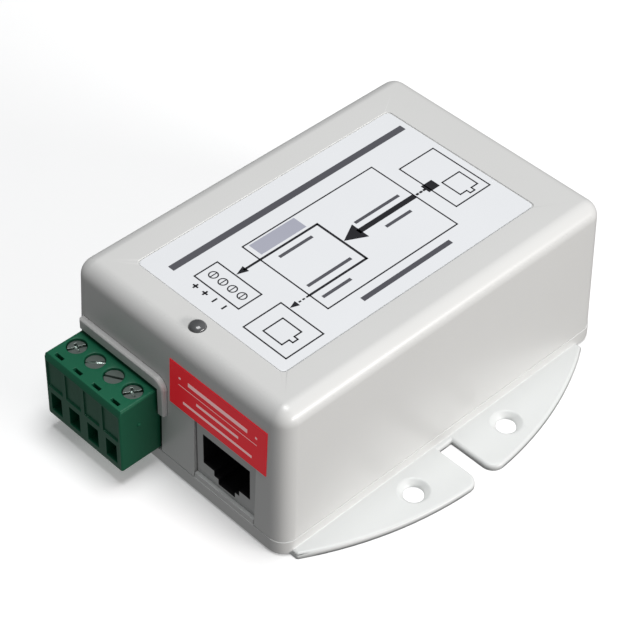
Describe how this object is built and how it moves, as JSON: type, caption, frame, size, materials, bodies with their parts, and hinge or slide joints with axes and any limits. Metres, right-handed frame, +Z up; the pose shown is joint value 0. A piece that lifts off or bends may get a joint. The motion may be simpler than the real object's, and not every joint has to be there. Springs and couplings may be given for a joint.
{
  "type": "poe splitter",
  "caption": "Pale plastic PoE splitter box with screw-down wings, network jacks and a green pluggable screw terminal.",
  "frame": {"origin": "centre of the case's underside, where it rests", "axes": "+Z up from the base, -Y towards the face with the screw terminal, X across the case"},
  "size_m": [0.0788, 0.0918, 0.0344],
  "materials": {
    "cover_plastic": "fine matt",
    "base_plastic": "fine matt",
    "label_film": "satin",
    "red_film": "satin",
    "smoked_lens": "gloss",
    "lamp_body": "gloss",
    "board": "solder mask",
    "jack_plastic": "fine matt",
    "plug_green": "satin",
    "gold": "plated",
    "tin": "plated",
    "steel": "plated",
    "chip_black": "moulded",
    "ferrite": "sintered",
    "windings": "taped",
    "can_sleeve": "sleeved",
    "ceramic": "fired"
  },
  "bodies": {
    "housing": {"cover": "cover_plastic", "base": "base_plastic", "case_screws": "steel", "top_label": "label_film", "red_label": "red_film", "light_pipe": "smoked_lens", "indicator_lamp": "lamp_body", "circuit_board": "board", "output_jack": "jack_plastic", "output_jack_contacts": "gold", "input_jack": "jack_plastic", "input_jack_contacts": "gold", "terminal_header": "plug_green", "header_pins": "tin", "data_transformer": "chip_black", "power_controller": "chip_black", "bridge_rectifier_1": "chip_black", "bridge_rectifier_2": "chip_black", "switch_transistor": "chip_black", "output_rectifier": "chip_black", "optocoupler": "chip_black", "transformer_bobbin": "chip_black", "transformer_windings": "windings", "transformer_core": "ferrite", "output_inductor": "ferrite", "output_capacitors": "can_sleeve", "input_capacitor": "can_sleeve", "chip_capacitors": "ceramic"},
    "plug": {"terminal_plug": "plug_green", "plug_contacts": "tin"},
    "screw_1": {"terminal_screw_1": "steel"},
    "clamp_1": {"wire_clamp_1": "tin"},
    "screw_2": {"terminal_screw_2": "steel"},
    "clamp_2": {"wire_clamp_2": "tin"},
    "screw_3": {"terminal_screw_3": "steel"},
    "clamp_3": {"wire_clamp_3": "tin"},
    "screw_4": {"terminal_screw_4": "steel"},
    "clamp_4": {"wire_clamp_4": "tin"}
  },
  "joints": [
    {"name": "plug_pull", "type": "slide", "parent": "housing", "child": "plug", "axis": [0, -1, 0], "range_m": [0, 0.012]},
    {"name": "clamp_1_lift", "type": "slide", "parent": "plug", "child": "clamp_1", "axis": [0, 0, 1], "range_m": [0, 0.0018]},
    {"name": "screw_1_turn", "type": "hinge", "parent": "plug", "child": "screw_1", "pos_m": [-0.02192, -0.04475, 0.016], "axis": [0, 0, -1], "range_deg": [0, 1450]},
    {"name": "clamp_2_lift", "type": "slide", "parent": "plug", "child": "clamp_2", "axis": [0, 0, 1], "range_m": [0, 0.0018]},
    {"name": "screw_2_turn", "type": "hinge", "parent": "plug", "child": "screw_2", "pos_m": [-0.01684, -0.04475, 0.016], "axis": [0, 0, -1], "range_deg": [0, 1450]},
    {"name": "clamp_3_lift", "type": "slide", "parent": "plug", "child": "clamp_3", "axis": [0, 0, 1], "range_m": [0, 0.0018]},
    {"name": "screw_3_turn", "type": "hinge", "parent": "plug", "child": "screw_3", "pos_m": [-0.01176, -0.04475, 0.016], "axis": [0, 0, -1], "range_deg": [0, 1450]},
    {"name": "clamp_4_lift", "type": "slide", "parent": "plug", "child": "clamp_4", "axis": [0, 0, 1], "range_m": [0, 0.0018]},
    {"name": "screw_4_turn", "type": "hinge", "parent": "plug", "child": "screw_4", "pos_m": [-0.00668, -0.04475, 0.016], "axis": [0, 0, -1], "range_deg": [0, 1450]}
  ],
  "couplings": [
    {"joint": "screw_1_turn", "follows": "clamp_1_lift", "rad_per_m": 13963},
    {"joint": "screw_2_turn", "follows": "clamp_2_lift", "rad_per_m": 13963},
    {"joint": "screw_3_turn", "follows": "clamp_3_lift", "rad_per_m": 13963},
    {"joint": "screw_4_turn", "follows": "clamp_4_lift", "rad_per_m": 13963}
  ]
}
